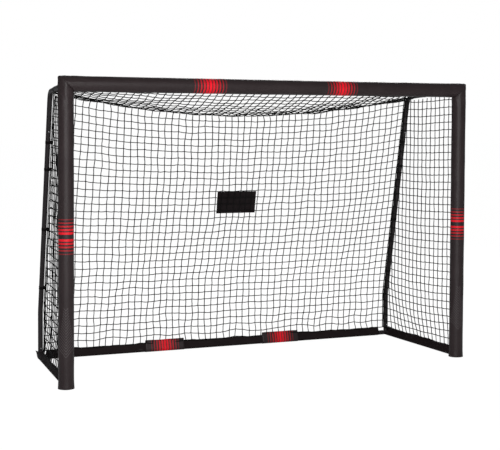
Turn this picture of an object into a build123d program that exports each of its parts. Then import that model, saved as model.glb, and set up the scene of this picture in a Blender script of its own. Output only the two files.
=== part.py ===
from build123d import *
import os

"""A free-standing padded goal with a net, 2.4 m wide, 1.6 m high and 0.85 m deep.

The frame is steel tube. Each tube has a swaged end that slides into the next one, and a
sprung snap button in that end holds the joint. Foam pads and fabric covers wrap the front
frame, fabric sleeves wrap the base, and four net panels close the roof, back and sides.
Units are millimetres. X runs along the crossbar, Y runs into the goal and Z is up. The
origin is on the floor, at the middle of the footprint. Right-hand pieces (+X) are drawn,
and the left-hand ones are their mirror images.
"""

# Overall size
WIDTH = 2400.0  # outside the padded posts
HEIGHT = 1600.0  # floor to the top of the padded crossbar
DEPTH = 850.0  # front of the padded posts to the back of the rear base

# Padding of the front frame
COVER_R = 40.0
COVER_WALL = 1.0
COVER_HEM_Z = 0.6  # the cover's hem stays just off the floor
PAD_GAP = 0.3  # cover to foam
MITRE_GAP = 0.4  # between two pads or covers that meet at a top corner

# Steel tube
TUBE_R = 14.0
TUBE_WALL = 1.0
SPIGOT_GAP = 0.2  # radial play of a swaged end in its socket
SPIGOT_LENGTH = 60.0
SEAT_GAP = 0.5  # a socket's rim to the shoulder of the tube in it
SLEEVE_FIT = 0.3  # fabric or foam to the tube inside it
BALL_STEP = 3.0  # each socket of a welded corner starts this far from the middle of its ball

# Frame layout
REAR_INSET = 40.0  # post axis to the rear upright's axis, towards the middle
ARM_REACH = 531.0  # post axis to the bend of the roof arm, along Y
ARM_DROP = 30.0  # how far the roof arm falls from the crossbar to its bend
ARM_BEND_R = 60.0
ARM_LEG = 253.0  # bend point to the end of the roof arm's lower leg
KNEE_Z = 277.0  # the rear upright is vertical below this height
KNEE_BEND_R = 150.0
CORNER_STUB = 120.0  # sockets of the top corner fitting
ARM_STUB = 110.0
SIDE_STUB = 110.0  # socket behind the foot of the post
REAR_STUB = 110.0  # sockets of the rear corner, along the floor
REAR_RISER = 98.0  # top of the rear corner's upright socket, above the floor
POST_JOINT_Z = 800.0  # rim of the socket half way up the post

# Snap buttons
BUTTON_R = 4.0
BUTTON_FIT = 0.1  # radial play in the swaged end's hole
BUTTON_PROUD = 3.5  # how far a button stands out of the tube
BUTTON_EDGE_R = 1.2
BUTTON_TRAVEL = 5.0
BUTTON_SETBACK = 30.0  # socket rim to button
FLANGE_R = 5.5
FLANGE_THICK = 1.0
SOCKET_HOLE_R = 4.3
POCKET_R = 5.6  # room round a button inside foam or fabric
CLIP_LENGTH = 40.0
CLIP_WIDTH = 6.0
CLIP_THICK = 0.6
CLIP_PLAY = 0.15

# Foot cap of the post
CAP_SETBACK = 3.0  # the cap's rim lies this far inside the cover's
CAP_THICK = 3.0
PLUG_HEIGHT = 9.0
PLUG_FIT = 0.15

# Base sleeves and the striped wraps on the rear one
SLEEVE_WALL = 1.2
SLEEVE_TOP_Z = 57.0
SLEEVE_TOP_R = 3.0
SLEEVE_START = 43.0  # post axis to the side sleeve's front end
SLEEVE_END_GAP = 45.0  # rear upright axis to the rear sleeve's end
SLEEVE_TAIL = 13.0  # how far the side sleeve runs past the rear corner
WRAP_WALL = 1.2
WRAP_WIDTH = 240.0
WRAP_X = 375.0
WRAP_TOP_Z = 72.0

# Net
NET_THICK = 2.4
NET_GAP = 0.8  # net to the pieces it hangs beside
NET_INSET = 36.0  # post axis to the side net, towards the middle
NET_TOP_DROP = 10.0  # crossbar axis to the front edge of the roof net
NET_SAG = 120.0  # the roof net's rear edge hangs this far at the middle
PATCH_WIDTH = 245.0
PATCH_HEIGHT = 130.0
PATCH_THICK = 1.5
PATCH_X = 20.0  # middle of the patch
PATCH_Z = 892.0
STRAP_WIDTH = 20.0
STRAP_WALL = 1.2
UPRIGHT_STRAP_AT = (0.114, 0.385, 0.657, 0.777)  # shares of the way up from the knee to the bend
ARM_STRAP_AT = (0.35, 0.65)  # shares of the way along the roof arm

# Worked out from the sizes above
BORE_R = TUBE_R - TUBE_WALL
SPIGOT_R = BORE_R - SPIGOT_GAP
SPIGOT_BORE_R = SPIGOT_R - TUBE_WALL
SLEEVE_BORE_R = TUBE_R + SLEEVE_FIT
SLEEVE_R = SLEEVE_BORE_R + SLEEVE_WALL
WRAP_BORE_R = SLEEVE_R + SLEEVE_FIT
WRAP_R = WRAP_BORE_R + WRAP_WALL
BASE_Z = WRAP_R  # the wraps rest on the floor
POST_X = WIDTH / 2 - COVER_R
POST_Y = -DEPTH / 2 + COVER_R
CROSSBAR_Z = HEIGHT - COVER_R
REAR_X = POST_X - REAR_INSET
REAR_Y = DEPTH / 2 - WRAP_R
FOAM_R = COVER_R - COVER_WALL - PAD_GAP
FLANGE_TOP = (SPIGOT_BORE_R**2 - FLANGE_R**2) ** 0.5 - SLEEVE_FIT / 3

CORNER = Vector(POST_X, POST_Y, CROSSBAR_Z)
POST_FOOT = Vector(POST_X, POST_Y, BASE_Z)
ARM_BEND = Vector(REAR_X, POST_Y + ARM_REACH, CROSSBAR_Z - ARM_DROP)
KNEE = Vector(REAR_X, REAR_Y, KNEE_Z)
REAR_FOOT = Vector(REAR_X, REAR_Y, BASE_Z)

INWARD = Vector(-1, 0, 0)
BACKWARD = Vector(0, 1, 0)
FORWARD = Vector(0, -1, 0)
UP = Vector(0, 0, 1)
DOWN = Vector(0, 0, -1)
ARM_DIR = (ARM_BEND - CORNER).normalized()
SLANT_DIR = (KNEE - ARM_BEND).normalized()
SIDE_DIR = (REAR_FOOT - POST_FOOT).normalized()
SIDE_LENGTH = (REAR_FOOT - POST_FOOT).length


def rod(start, direction, length, radius):
    """A solid round bar."""
    plane = Plane(origin=start, z_dir=direction)
    return extrude(plane * Circle(radius), amount=length)


def pipe(start, direction, length, outer_r, inner_r):
    """A straight length of tube."""
    plane = Plane(origin=start, z_dir=direction)
    return extrude(plane * (Circle(outer_r) - Circle(inner_r)), amount=length)


def bent_pipe(points, bend_r, outer_r, inner_r):
    """A tube bent once, at the middle one of three points."""
    path = FilletPolyline(*points, radius=bend_r)
    plane = Plane(origin=points[0], z_dir=points[1] - points[0])
    ring = plane * (Circle(outer_r) - Circle(inner_r))
    return sweep(ring, path=path)


def swaged_end(shoulder, direction):
    """The narrowed end that slides into a socket, with the ring that joins it to its tube."""
    end = pipe(shoulder, direction, SPIGOT_LENGTH, SPIGOT_R, SPIGOT_BORE_R)
    ring = pipe(shoulder, direction * -1, TUBE_WALL, TUBE_R, SPIGOT_BORE_R)
    return end + ring


def button_at(rim, into_socket, facing):
    """Where a snap button sits: its point on the tube's axis, and its two directions."""
    return (rim + into_socket * BUTTON_SETBACK, into_socket, facing)


def facing_on(tube_dir, wish):
    """The direction square to a tube that is nearest to the wished one."""
    return (wish - tube_dir * wish.dot(tube_dir)).normalized()


def mirrored(seat):
    """The seat of the left-hand button that matches a right-hand one."""
    return tuple(Vector(-v.X, v.Y, v.Z) for v in seat)


def button_seats():
    """Every snap button by name, with its place, the tube's direction and the way it faces."""
    slant_rim = ARM_BEND + SLANT_DIR * ARM_LEG
    right = {
        "crossbar": button_at(CORNER + INWARD * CORNER_STUB, INWARD * -1, BACKWARD),
        "post_top": button_at(CORNER + DOWN * CORNER_STUB, UP, BACKWARD),
        "post_middle": button_at(Vector(POST_X, POST_Y, POST_JOINT_Z), UP, BACKWARD),
        "arm_front": button_at(CORNER + ARM_DIR * ARM_STUB, ARM_DIR * -1, facing_on(ARM_DIR, UP)),
        "arm_rear": button_at(slant_rim, SLANT_DIR * -1, facing_on(SLANT_DIR, FORWARD)),
        "upright_foot": button_at(Vector(REAR_X, REAR_Y, REAR_RISER), DOWN, FORWARD),
        "side_front": button_at(POST_FOOT + SIDE_DIR * SIDE_STUB, SIDE_DIR * -1, UP),
        "side_rear": button_at(REAR_FOOT - SIDE_DIR * REAR_STUB, SIDE_DIR, UP),
        "rear": button_at(REAR_FOOT + INWARD * REAR_STUB, INWARD * -1, UP),
    }
    seats = {}
    for name, seat in right.items():
        seats[name + "_right"] = seat
        seats[name + "_left"] = mirrored(seat)
    crossbar_rim = Vector(SEAT_GAP / 2, POST_Y, CROSSBAR_Z)
    rear_rim = Vector(SEAT_GAP / 2, REAR_Y, BASE_Z)
    seats["crossbar_middle"] = button_at(crossbar_rim, INWARD * -1, BACKWARD)
    seats["rear_middle"] = button_at(rear_rim, INWARD * -1, UP)
    return seats


SEATS = button_seats()


def drilled(piece, *names):
    """A socket tube with the holes that its snap buttons stand out of."""
    for name in names:
        centre, _, facing = SEATS[name]
        piece = piece - rod(centre + facing * SPIGOT_BORE_R / 2, facing, TUBE_R, SOCKET_HOLE_R)
    return piece


def punched(piece, *names):
    """A swaged tube with the close holes that guide its snap buttons."""
    for name in names:
        centre, _, facing = SEATS[name]
        hole_r = BUTTON_R + BUTTON_FIT
        piece = piece - rod(centre + facing * SPIGOT_BORE_R / 2, facing, TUBE_R, hole_r)
    return piece


def pocketed(piece, *names):
    """A pad or sleeve with room round the heads of the snap buttons under it."""
    reach = BUTTON_PROUD + 2 * SLEEVE_FIT
    for name in names:
        centre, _, facing = SEATS[name]
        piece = piece - rod(centre + facing * BORE_R, facing, TUBE_WALL + reach, POCKET_R)
    return piece


def snap_button(seat):
    """A domed steel button whose flange stops it against the inside of the swaged end."""
    centre, _, facing = seat
    stem = rod(centre + facing * FLANGE_TOP, facing, TUBE_R + BUTTON_PROUD - FLANGE_TOP, BUTTON_R)
    crown = stem.edges().sort_by(Axis(centre, facing))[-1]
    stem = fillet(crown, BUTTON_EDGE_R)
    return stem + rod(centre + facing * (FLANGE_TOP - FLANGE_THICK), facing, FLANGE_THICK, FLANGE_R)


def snap_clip(seat):
    """The bent strip of spring steel that pushes a snap button out."""
    centre, into_socket, facing = seat
    away = into_socket * -1
    plane = Plane(origin=centre, x_dir=away, z_dir=away.cross(facing))
    head = FLANGE_TOP - FLANGE_THICK - CLIP_PLAY
    heel = -(SPIGOT_BORE_R**2 - (CLIP_WIDTH / 2) ** 2) ** 0.5 + CLIP_PLAY
    outline = Polyline(
        (-BUTTON_R, head),
        (BUTTON_R, head),
        (CLIP_LENGTH, heel + 3 * CLIP_THICK),
        (CLIP_LENGTH, heel),
        (-BUTTON_R, heel),
        (-BUTTON_R, heel + CLIP_THICK),
        (CLIP_LENGTH - 4 * CLIP_THICK, heel + CLIP_THICK),
        (BUTTON_R, head - CLIP_THICK),
        (-BUTTON_R, head - CLIP_THICK),
        close=True,
    )
    return extrude(plane * make_face(outline), amount=CLIP_WIDTH / 2, both=True)


def welded_corner(centre, arms):
    """Three sockets welded to a hollow ball."""
    body = Pos(*centre) * Sphere(TUBE_R)
    hollow = Pos(*centre) * Sphere(BORE_R)
    for direction, length in arms:
        start = centre + direction * BALL_STEP
        body = body + rod(start, direction, length - BALL_STEP, TUBE_R)
        hollow = hollow + rod(start, direction, length - BALL_STEP, BORE_R)
    return body - hollow


def corner_fitting():
    """The welded steel corner at the end of the crossbar, with three sockets."""
    arms = ((INWARD, CORNER_STUB), (DOWN, CORNER_STUB), (ARM_DIR, ARM_STUB))
    return drilled(welded_corner(CORNER, arms), "crossbar_right", "post_top_right", "arm_front_right")


def crossbar_tube(side):
    """Half of the crossbar. The left half's swaged end slides into the right half."""
    shoulder_x = POST_X - CORNER_STUB - SEAT_GAP
    outer = Vector(shoulder_x, POST_Y, CROSSBAR_Z)
    length = shoulder_x - SEAT_GAP / 2
    half = pipe(outer, INWARD, length, TUBE_R, BORE_R) + swaged_end(outer, INWARD * -1)
    half = punched(half, "crossbar_right")
    if side == "right":
        return drilled(half, "crossbar_middle")
    half = mirror(half, Plane.YZ)
    inner = Vector(-SEAT_GAP / 2, POST_Y, CROSSBAR_Z)
    return punched(half + swaged_end(inner, INWARD * -1), "crossbar_middle")


def post_tube_upper():
    """The upper half of the post: swaged at the top, with a socket at the bottom."""
    shoulder = CORNER + DOWN * (CORNER_STUB + SEAT_GAP)
    length = shoulder.Z - POST_JOINT_Z
    tube = pipe(shoulder, DOWN, length, TUBE_R, BORE_R) + swaged_end(shoulder, UP)
    return drilled(punched(tube, "post_top_right"), "post_middle_right")


def post_tube_lower():
    """The lower half of the post, with the socket for the side base welded behind its foot."""
    shoulder = Vector(POST_X, POST_Y, POST_JOINT_Z - SEAT_GAP)
    foot = Vector(POST_X, POST_Y, CAP_THICK - PLUG_FIT / 2)
    tube = rod(foot, UP, shoulder.Z - foot.Z, TUBE_R) + rod(POST_FOOT, SIDE_DIR, SIDE_STUB, TUBE_R)
    tube = tube - rod(foot, UP, shoulder.Z - foot.Z, BORE_R)
    tube = tube - rod(POST_FOOT, SIDE_DIR, SIDE_STUB, BORE_R)
    tube = tube + swaged_end(shoulder, UP)
    return drilled(punched(tube, "post_middle_right"), "side_front_right")


def post_foot_cap():
    """A moulded plate under the padded post, with a plug that fits the tube."""
    floor_point = Vector(POST_X, POST_Y, 0)
    plate = rod(floor_point, UP, CAP_THICK - PLUG_FIT, COVER_R - CAP_SETBACK)
    plate = chamfer(plate.edges().group_by(Axis.Z)[0], CAP_THICK / 6)
    bore = rod(POST_FOOT, SIDE_DIR, SIDE_STUB, BORE_R)
    plug = rod(floor_point, UP, CAP_THICK + PLUG_HEIGHT, BORE_R - PLUG_FIT)
    return plate + (plug - bore)


def roof_arm():
    """The bent tube from the top corner back over the net and down to the rear upright."""
    shoulder = CORNER + ARM_DIR * (ARM_STUB + SEAT_GAP)
    points = (shoulder, ARM_BEND, ARM_BEND + SLANT_DIR * ARM_LEG)
    arm = bent_pipe(points, ARM_BEND_R, TUBE_R, BORE_R) + swaged_end(shoulder, ARM_DIR * -1)
    return drilled(punched(arm, "arm_front_right"), "arm_rear_right")


def rear_upright():
    """The bent rear tube: slanted from the roof arm to the knee, then vertical to the base."""
    top = ARM_BEND + SLANT_DIR * (ARM_LEG + SEAT_GAP)
    bottom = Vector(REAR_X, REAR_Y, REAR_RISER + SEAT_GAP)
    tube = bent_pipe((top, KNEE, bottom), KNEE_BEND_R, TUBE_R, BORE_R)
    tube = tube + swaged_end(top, SLANT_DIR * -1) + swaged_end(bottom, DOWN)
    return punched(tube, "arm_rear_right", "upright_foot_right")


def rear_corner():
    """The welded rear corner on the floor, with three sockets."""
    arms = (
        (UP, REAR_RISER - BASE_Z),
        (SIDE_DIR * -1, REAR_STUB),
        (INWARD, REAR_STUB),
    )
    return drilled(welded_corner(REAR_FOOT, arms), "upright_foot_right", "side_rear_right", "rear_right")


def side_base_tube():
    """The tube along the floor from the post to the rear corner, swaged at both ends."""
    front = POST_FOOT + SIDE_DIR * (SIDE_STUB + SEAT_GAP)
    back = REAR_FOOT - SIDE_DIR * (REAR_STUB + SEAT_GAP)
    tube = pipe(front, SIDE_DIR, (back - front).length, TUBE_R, BORE_R)
    tube = tube + swaged_end(front, SIDE_DIR * -1) + swaged_end(back, SIDE_DIR)
    return punched(tube, "side_front_right", "side_rear_right")


def rear_base_tube(side):
    """Half of the rear base. The left half's swaged end slides into the right half."""
    shoulder_x = REAR_X - REAR_STUB - SEAT_GAP
    outer = Vector(shoulder_x, REAR_Y, BASE_Z)
    length = shoulder_x - SEAT_GAP / 2
    half = pipe(outer, INWARD, length, TUBE_R, BORE_R) + swaged_end(outer, INWARD * -1)
    half = punched(half, "rear_right")
    if side == "right":
        return drilled(half, "rear_middle")
    half = mirror(half, Plane.YZ)
    inner = Vector(-SEAT_GAP / 2, REAR_Y, BASE_Z)
    return punched(half + swaged_end(inner, INWARD * -1), "rear_middle")


def post_side(piece, gap):
    """The part of a shape on the post's side of the top corner's mitre."""
    seam = Plane(origin=CORNER + Vector(gap, 0, -gap) / 2, z_dir=(-1, 0, 1))
    return split(piece, bisect_by=seam, keep=Keep.BOTTOM)


def crossbar_side(piece, gap):
    """The part of a shape on the crossbar's side of the right-hand mitre."""
    seam = Plane(origin=CORNER - Vector(gap, 0, -gap) / 2, z_dir=(-1, 0, 1))
    return split(piece, bisect_by=seam, keep=Keep.TOP)


def arm_hole():
    """The way out for the roof arm through the padding of the corner."""
    return rod(CORNER, ARM_DIR, ARM_STUB, SLEEVE_R)


def foot_notch():
    """The open slot at the foot of the padding, round the side base's socket."""
    hole = rod(POST_FOOT, SIDE_DIR, SIDE_STUB, SLEEVE_R)
    floor_slot = Plane(origin=POST_FOOT, x_dir=UP, z_dir=SIDE_DIR) * Pos(-BASE_Z, 0)
    slot = extrude(floor_slot * Rectangle(2 * BASE_Z, 2 * SLEEVE_R), amount=SIDE_STUB)
    return hole + slot


def post_foam():
    """The foam tube round the post."""
    start = Vector(POST_X, POST_Y, CAP_THICK + PAD_GAP)
    length = HEIGHT - start.Z
    foam = pipe(start, UP, length, FOAM_R, SLEEVE_BORE_R)
    foam = post_side(foam, MITRE_GAP) - arm_hole() - foot_notch()
    return pocketed(foam, "post_top_right", "post_middle_right")


def post_cover():
    """The fabric tube over the post's foam."""
    start = Vector(POST_X, POST_Y, COVER_HEM_Z)
    cover = pipe(start, UP, HEIGHT - COVER_HEM_Z, COVER_R, COVER_R - COVER_WALL)
    return post_side(cover, MITRE_GAP) - arm_hole() - foot_notch()


def crossbar_foam():
    """Half of the foam tube round the crossbar."""
    start = Vector(MITRE_GAP / 2, POST_Y, CROSSBAR_Z)
    foam = pipe(start, INWARD * -1, WIDTH / 2, FOAM_R, SLEEVE_BORE_R)
    foam = crossbar_side(foam, MITRE_GAP) - arm_hole()
    return pocketed(foam, "crossbar_right", "crossbar_middle")


def crossbar_cover():
    """The fabric tube over the whole crossbar, mitred at both ends."""
    half = pipe(
        Vector(0, POST_Y, CROSSBAR_Z), INWARD * -1, WIDTH / 2, COVER_R, COVER_R - COVER_WALL
    )
    half = crossbar_side(half, MITRE_GAP) - arm_hole()
    return half + mirror(half, Plane.YZ)


def teardrop(base_r, top_r, top_z):
    """The end view of fabric that goes round a base tube and stands up above it."""
    top_centre = top_z - top_r - BASE_Z
    lean = (base_r - top_r) / top_centre
    side = (1 - lean**2) ** 0.5
    outline = Polyline(
        (base_r * side, base_r * lean),
        (top_r * side, top_centre + top_r * lean),
        (-top_r * side, top_centre + top_r * lean),
        (-base_r * side, base_r * lean),
        close=True,
    )
    return Circle(base_r) + make_face(outline) + Pos(0, top_centre) * Circle(top_r)


def along(start, direction, length, profile):
    """A floor-level profile, with its Y axis up, carried along a level direction."""
    plane = Plane(origin=start, x_dir=direction.cross(UP) * -1, z_dir=direction)
    if plane.y_dir.Z < 0:
        plane = Plane(origin=start, x_dir=direction.cross(UP), z_dir=direction)
    return extrude(plane * profile, amount=length)


def side_base_sleeve():
    """The fabric sleeve over the side base, wrapped round the rear corner."""
    start = POST_FOOT + SIDE_DIR * SLEEVE_START
    length = SIDE_LENGTH - SLEEVE_START + SLEEVE_TAIL
    profile = teardrop(SLEEVE_R, SLEEVE_TOP_R, SLEEVE_TOP_Z) - Circle(SLEEVE_BORE_R)
    sleeve = along(start, SIDE_DIR, length, profile)
    slit_start = Plane(origin=REAR_FOOT - SIDE_DIR * SLEEVE_R, x_dir=UP, z_dir=SIDE_DIR)
    slit = extrude(slit_start * Rectangle(2 * REAR_RISER, 4 * SLEEVE_R), amount=REAR_STUB)
    slit = split(slit, bisect_by=Plane(origin=REAR_FOOT, z_dir=UP), keep=Keep.TOP)
    sleeve = sleeve - slit - rod(REAR_FOOT, INWARD, REAR_STUB, SLEEVE_BORE_R)
    return pocketed(sleeve, "side_front_right", "side_rear_right")


def rear_base_sleeve():
    """The fabric sleeve over the rear base."""
    reach = REAR_X - SLEEVE_END_GAP
    profile = teardrop(SLEEVE_R, SLEEVE_TOP_R, SLEEVE_TOP_Z) - Circle(SLEEVE_BORE_R)
    sleeve = along(Vector(-reach, REAR_Y, BASE_Z), INWARD * -1, 2 * reach, profile)
    return pocketed(sleeve, "rear_left", "rear_middle", "rear_right")


def base_wrap():
    """A striped fabric wrap round the rear base sleeve."""
    outer = teardrop(WRAP_R, SLEEVE_TOP_R + WRAP_WALL, WRAP_TOP_Z)
    inner = teardrop(WRAP_BORE_R, SLEEVE_TOP_R + SLEEVE_FIT, SLEEVE_TOP_Z + SLEEVE_FIT)
    start = Vector(WRAP_X - WRAP_WIDTH / 2, REAR_Y, BASE_Z)
    return along(start, INWARD * -1, WRAP_WIDTH, outer - inner)


NET_FRONT_Y = POST_Y + COVER_R + NET_GAP
NET_FRONT_X = POST_X - NET_INSET
NET_BASE_Z = SLEEVE_TOP_Z + NET_GAP


def side_net_x(y):
    """The side net's distance from the middle, level with the base tube but further in."""
    return NET_FRONT_X + (y - NET_FRONT_Y) * SIDE_DIR.X / SIDE_DIR.Y


def net_side():
    """The side net: a thin panel from the post to the rear upright."""
    edge = NET_THICK / 2 + NET_GAP
    places = (
        (NET_FRONT_Y, NET_BASE_Z),
        (KNEE.Y - edge, NET_BASE_Z),
        (KNEE.Y - edge, KNEE.Z),
        (ARM_BEND.Y - edge, ARM_BEND.Z - edge),
        (NET_FRONT_Y, CROSSBAR_Z - NET_TOP_DROP - edge),
    )
    points = [Vector(side_net_x(y), y, z) for y, z in places]
    panel = Face(Wire.make_polygon(points, close=True))
    return extrude(panel, amount=NET_THICK / 2, both=True)


def between_side_nets():
    """The room between the two side nets, which bounds the roof and back nets."""
    edge = NET_THICK / 2 + NET_GAP
    front, back = NET_FRONT_Y, REAR_Y + COVER_R
    right = [(side_net_x(front) - edge, front), (side_net_x(back) - edge, back)]
    left = [(-x, y) for x, y in reversed(right)]
    return extrude(make_face(Polyline(*right, *left, close=True)), amount=HEIGHT)


def net_back():
    """The back net: up from the rear base, bent at the knee, with a sagging top edge."""
    half = NET_THICK / 2
    lean = Vector(0, SLANT_DIR.Z, -SLANT_DIR.Y) * -half
    profile = Polyline(
        (REAR_Y - half, NET_BASE_Z),
        (REAR_Y + half, NET_BASE_Z),
        (REAR_Y + half, KNEE.Z),
        (ARM_BEND.Y + lean.Y, ARM_BEND.Z),
        (ARM_BEND.Y - lean.Y, ARM_BEND.Z),
        (REAR_Y - half, KNEE.Z),
        close=True,
    )
    panel = extrude(Plane.YZ * make_face(profile), amount=WIDTH / 2, both=True)
    panel = panel & between_side_nets()
    sag_r = (REAR_X**2 + NET_SAG**2) / (2 * NET_SAG)
    sky = rod(Vector(0, 0, ARM_BEND.Z - NET_SAG + sag_r), BACKWARD, DEPTH, sag_r)
    panel = panel - sky
    wrap_top = WRAP_TOP_Z + NET_GAP
    room = Box(WRAP_WIDTH + 2 * NET_GAP, WRAP_R, 2 * wrap_top)
    for side in (-1, 1):
        panel = panel - Pos(side * WRAP_X, REAR_Y, 0) * room
    return panel


def net_roof():
    """The roof net: straight along the crossbar, sagging along its rear edge."""
    half = NET_THICK / 2
    front = Plane(origin=(0, NET_FRONT_Y, CROSSBAR_Z - NET_TOP_DROP), x_dir=(1, 0, 0), z_dir=BACKWARD)
    clear = (NET_THICK + NET_GAP) / 2
    rear_origin = ARM_BEND + Vector(-REAR_X, -2 * clear, 0)
    rear = Plane(origin=rear_origin, x_dir=(1, 0, 0), z_dir=Vector(0, -SLANT_DIR.Z, SLANT_DIR.Y))
    down = 1 if front.y_dir.Z < 0 else -1
    strip = Polyline(
        (-REAR_X, -half), (REAR_X, -half), (REAR_X, half), (-REAR_X, half), close=True
    )
    sag = NET_SAG * down
    lower = ThreePointArc((-REAR_X, -half), (0, sag - half), (REAR_X, -half))
    upper = ThreePointArc((REAR_X, half), (0, sag + half), (-REAR_X, half))
    ends = Line((REAR_X, -half), (REAR_X, half)) + Line((-REAR_X, half), (-REAR_X, -half))
    arched = make_face([*lower.edges(), *upper.edges(), *ends.edges()])
    sheet = loft([front * make_face(strip), rear * arched], ruled=True)
    return sheet & between_side_nets()


def net_patch():
    """The plain woven patch sewn on the front of the back net."""
    drop = (ARM_BEND.Z - PATCH_Z) / -SLANT_DIR.Z
    centre = ARM_BEND + SLANT_DIR * drop
    normal = Vector(0, SLANT_DIR.Z, -SLANT_DIR.Y)
    offset = NET_THICK / 2 + NET_GAP / 2
    origin = Vector(PATCH_X, centre.Y, centre.Z) + normal * offset
    plane = Plane(origin=origin, x_dir=(1, 0, 0), z_dir=normal)
    return extrude(plane * Rectangle(PATCH_WIDTH, PATCH_HEIGHT), amount=PATCH_THICK)


def strap(centre, tube_dir):
    """A fabric tie round a tube, with a tab that reaches in to the side net."""
    start = centre - tube_dir * STRAP_WIDTH / 2
    ring_r = TUBE_R + SLEEVE_FIT
    ring = pipe(start, tube_dir, STRAP_WIDTH, ring_r + STRAP_WALL, ring_r)
    net_face = side_net_x(centre.Y) + NET_THICK / 2 + NET_GAP
    reach = centre.X - ring_r - net_face
    inward = facing_on(tube_dir, INWARD)
    plane = Plane(origin=centre + inward * ring_r, x_dir=tube_dir, z_dir=inward)
    tab = extrude(plane * Rectangle(STRAP_WIDTH, 2 * STRAP_WALL), amount=reach)
    return ring + tab


def net_straps():
    """All the ties that hold the net to the rear uprights and roof arms."""
    straps = []
    for share in UPRIGHT_STRAP_AT:
        straps.append(strap(KNEE + (ARM_BEND - KNEE) * share, SLANT_DIR))
    for share in ARM_STRAP_AT:
        straps.append(strap(CORNER + (ARM_BEND - CORNER) * share, ARM_DIR))
    straps = straps + [mirror(piece, Plane.YZ) for piece in straps]
    return Compound(children=straps)


def build():
    """Every node of the goal by name."""
    nodes = {
        "crossbar_tube_left": crossbar_tube("left"),
        "crossbar_tube_right": crossbar_tube("right"),
        "rear_base_tube_left": rear_base_tube("left"),
        "rear_base_tube_right": rear_base_tube("right"),
        "crossbar_cover": crossbar_cover(),
        "rear_base_sleeve": rear_base_sleeve(),
        "net_back": net_back(),
        "net_roof": net_roof(),
        "net_patch": net_patch(),
        "net_straps": net_straps(),
        "snap_clips": Compound(children=[snap_clip(seat) for seat in SEATS.values()]),
    }
    pairs = {
        "corner_fitting": corner_fitting,
        "post_tube_upper": post_tube_upper,
        "post_tube_lower": post_tube_lower,
        "post_foot_cap": post_foot_cap,
        "roof_arm": roof_arm,
        "rear_upright": rear_upright,
        "rear_corner": rear_corner,
        "side_base_tube": side_base_tube,
        "post_foam": post_foam,
        "crossbar_foam": crossbar_foam,
        "post_cover": post_cover,
        "side_base_sleeve": side_base_sleeve,
        "base_wrap": base_wrap,
        "net_side": net_side,
    }
    for name, make in pairs.items():
        right = make()
        nodes[name + "_right"] = right
        nodes[name + "_left"] = mirror(right, Plane.YZ)
    for name, seat in SEATS.items():
        nodes["snap_button_" + name] = snap_button(seat)
    return nodes


os.makedirs("parts", exist_ok=True)
for name, shape in build().items():
    export_step(shape, f"parts/{name}.step")
    print(f"{name}: {len(shape.solids())} solid(s), {shape.volume / 1000:.1f} cm3")
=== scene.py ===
# %% [markdown]
# # A padded goal with its net
#
# The goal stands on the ground by itself. Steel tubes make the frame, foam under fabric pads
# the front of it, fabric sleeves hide the tubes on the floor, and a net of black cord closes
# the roof, the back and the sides.
# The steel, the buttons and the foot caps come finished from the frame and only need their
# materials here. Everything soft is modelled in this file.

# %% Load the frame
import math

import bmesh
import bpy
from mathutils import Euler, Matrix, Vector, noise


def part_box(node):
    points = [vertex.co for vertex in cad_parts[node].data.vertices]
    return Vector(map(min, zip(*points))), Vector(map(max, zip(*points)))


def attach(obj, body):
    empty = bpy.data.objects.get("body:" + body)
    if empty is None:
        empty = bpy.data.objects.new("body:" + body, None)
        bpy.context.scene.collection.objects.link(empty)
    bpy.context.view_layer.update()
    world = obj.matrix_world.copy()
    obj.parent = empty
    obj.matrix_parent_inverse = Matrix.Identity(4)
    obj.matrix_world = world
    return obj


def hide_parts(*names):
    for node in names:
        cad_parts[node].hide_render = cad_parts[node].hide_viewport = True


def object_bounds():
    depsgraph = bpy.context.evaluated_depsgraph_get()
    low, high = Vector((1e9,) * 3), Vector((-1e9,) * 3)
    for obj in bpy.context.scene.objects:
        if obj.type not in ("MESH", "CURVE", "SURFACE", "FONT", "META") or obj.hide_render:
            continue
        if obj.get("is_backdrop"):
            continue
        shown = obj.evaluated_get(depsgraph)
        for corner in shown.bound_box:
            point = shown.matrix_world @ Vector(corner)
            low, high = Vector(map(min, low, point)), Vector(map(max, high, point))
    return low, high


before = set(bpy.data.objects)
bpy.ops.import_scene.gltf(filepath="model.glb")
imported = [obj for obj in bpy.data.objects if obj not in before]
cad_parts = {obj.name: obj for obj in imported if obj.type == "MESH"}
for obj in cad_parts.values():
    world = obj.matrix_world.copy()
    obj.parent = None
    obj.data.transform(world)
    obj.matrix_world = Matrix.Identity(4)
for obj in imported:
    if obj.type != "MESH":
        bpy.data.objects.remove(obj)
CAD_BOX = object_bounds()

print("CAD box", [[round(c, 3) for c in corner] for corner in CAD_BOX])

# %% [markdown]
# ## Places
#
# Each piece goes where the frame's own pieces are. A tube's axis is the middle of its box, so
# three tubes give nearly every place. The two bends of the rear tubes are the only heights
# that a box doesn't tell.

# %% Places taken from the frame
MM = 0.001


def middle(node):
    low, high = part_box(node)
    return (low + high) / 2


COVER_R = (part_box("crossbar_cover")[1].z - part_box("crossbar_cover")[0].z) / 2
POST_X = middle("post_tube_upper_right").x
POST_Y = middle("post_tube_upper_right").y
CROSSBAR_Z = middle("crossbar_cover").z
REAR_X = middle("rear_upright_right").x
REAR_Y = middle("rear_base_tube_right").y
BASE_Z = middle("rear_base_tube_right").z
TUBE_R = 14 * MM
KNEE_Z = 277 * MM
BEND = Vector((REAR_X, POST_Y + 531 * MM, CROSSBAR_Z - 30 * MM))
SLEEVE_TOP_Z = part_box("rear_base_sleeve")[1].z
SLEEVE_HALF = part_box("rear_base_sleeve")[1].x
print("post axis", round(POST_X, 3), round(POST_Y, 3), "crossbar", round(CROSSBAR_Z, 3))
print("rear axis", round(REAR_X, 3), round(REAR_Y, 3), "base", round(BASE_Z, 4))

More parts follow.
